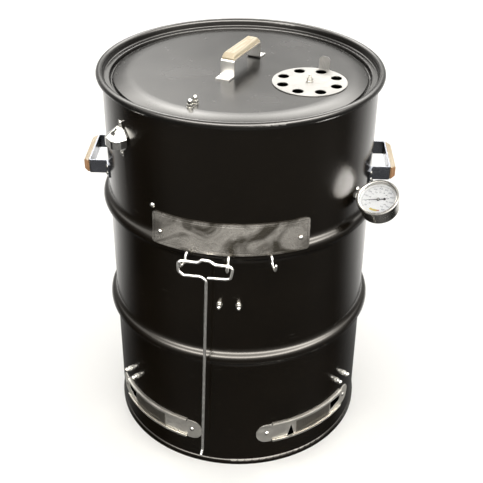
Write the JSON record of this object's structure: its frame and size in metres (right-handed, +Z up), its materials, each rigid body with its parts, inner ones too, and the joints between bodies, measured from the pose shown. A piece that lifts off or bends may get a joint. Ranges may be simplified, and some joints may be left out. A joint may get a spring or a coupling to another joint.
{
  "type": "upright drum smoker",
  "caption": "Upright drum smoker: open-head steel drum with lift-off lid, wood-grip handles, dial thermometer, rotary lid vent, sliding air intakes, hooks and lifting tool.",
  "frame": {"origin": "on the drum's axis, in the plane of the bottom chime's foot", "axes": "+Z up along the drum's axis, -Y towards the front where the nameplate is, +X to the viewer's right"},
  "size_m": [0.673, 0.6466, 0.8935],
  "materials": {
    "body_enamel": "satin",
    "lid_enamel": "gloss",
    "stainless": "brushed",
    "bright_plate": "polished",
    "zinc": "bright",
    "grate_wire": "satin",
    "basket_steel": "matt",
    "pan_steel": "satin",
    "oiled_wood": "oiled",
    "clear_glass": "clear",
    "dial_face": "matt",
    "needle_paint": "matt"
  },
  "bodies": {
    "drum": {"drum_shell": "body_enamel", "drum_bottom": "body_enamel", "nameplate": "stainless", "nameplate_screws": "zinc", "nameplate_nuts": "zinc", "tool_hooks": "zinc", "tool_hook_nuts": "zinc", "left_handle_bracket": "stainless", "left_handle_grip": "oiled_wood", "right_handle_bracket": "stainless", "right_handle_grip": "oiled_wood", "side_grip_screws": "zinc", "side_handle_bolts": "zinc", "side_handle_nuts": "zinc", "left_intake_base": "stainless", "right_intake_base": "stainless", "intake_screws": "zinc", "intake_nuts": "zinc", "bottle_opener": "bright_plate", "opener_screws": "zinc", "opener_nuts": "zinc", "thermometer_fitting": "stainless", "thermometer_lock_nut": "zinc", "grate_pegs": "zinc", "grate_peg_nuts": "zinc", "lower_grate_brackets": "stainless", "basket_brackets": "stainless", "bracket_bolts": "zinc", "bracket_acorn_nuts": "zinc"},
    "lid": {"lid_panel": "lid_enamel", "lid_handle_bracket": "stainless", "lid_handle_grip": "oiled_wood", "lid_grip_screws": "zinc", "lid_handle_screws": "zinc", "lid_handle_nuts": "zinc", "vent_bolt": "zinc", "vent_nut": "zinc", "lid_hook": "stainless", "lid_hook_bolts": "zinc", "lid_hook_nuts": "zinc"},
    "vent_damper": {"vent_disc": "stainless"},
    "left_shutter": {"left_intake_shutter": "stainless"},
    "right_shutter": {"right_intake_shutter": "stainless"},
    "thermometer": {"thermometer_stem": "stainless", "thermometer_case": "stainless", "thermometer_bezel": "bright_plate", "thermometer_dial": "dial_face", "thermometer_glass": "clear_glass"},
    "needle": {"thermometer_needle": "needle_paint"},
    "lifting_tool": {"lifting_tool": "zinc"},
    "cooking_grate": {"cooking_grate": "grate_wire", "cooking_grate_handles": "grate_wire"},
    "lower_grate": {"lower_grate": "grate_wire"},
    "basket": {"charcoal_basket": "basket_steel", "basket_handle": "basket_steel", "basket_bolts": "zinc", "basket_bolt_nuts": "zinc"},
    "basket_grate": {"basket_grate": "basket_steel"},
    "ash_pan": {"ash_pan": "pan_steel"}
  },
  "joints": [
    {"name": "lid_lift", "type": "slide", "parent": "drum", "child": "lid", "axis": [0, 0, 1], "range_m": [0, 0.25]},
    {"name": "vent_turn", "type": "hinge", "parent": "lid", "child": "vent_damper", "pos_m": [0.14314, -0.06076, 0.845], "axis": [0, 0, 1], "continuous": true},
    {"name": "left_shutter_slide", "type": "hinge", "parent": "drum", "child": "left_shutter", "pos_m": [0, 0, 0.0867], "axis": [0, 0, 1], "range_deg": [-9, 11]},
    {"name": "right_shutter_slide", "type": "hinge", "parent": "drum", "child": "right_shutter", "pos_m": [0, 0, 0.0867], "axis": [0, 0, 1], "range_deg": [-11, 9]},
    {"name": "thermometer_swivel", "type": "hinge", "parent": "drum", "child": "thermometer", "pos_m": [0.29401, -0.16264, 0.633], "axis": [0.875, -0.4841, 0], "range_deg": [-60, 60]},
    {"name": "needle_turn", "type": "hinge", "parent": "thermometer", "child": "needle", "pos_m": [0.29401, -0.16264, 0.633], "axis": [-0.2317, -0.4189, 0.878], "range_deg": [-247, 23]},
    {"name": "tool_lift_out", "type": "slide", "parent": "drum", "child": "lifting_tool", "axis": [-0.0975, -0.6941, 0.7132], "range_m": [0, 0.2]},
    {"name": "cooking_grate_lift", "type": "slide", "parent": "drum", "child": "cooking_grate", "axis": [0, 0, 1], "range_m": [0, 0.12]},
    {"name": "lower_grate_lift", "type": "slide", "parent": "drum", "child": "lower_grate", "axis": [0, 0, 1], "range_m": [0, 0.15]},
    {"name": "basket_lift", "type": "slide", "parent": "drum", "child": "basket", "axis": [0, 0, 1], "range_m": [0, 0.07]},
    {"name": "basket_grate_lift", "type": "slide", "parent": "basket", "child": "basket_grate", "axis": [0, 0, 1], "range_m": [0, 0.08]},
    {"name": "ash_pan_lift", "type": "slide", "parent": "drum", "child": "ash_pan", "axis": [0, 0, 1], "range_m": [0, 0.08]}
  ]
}
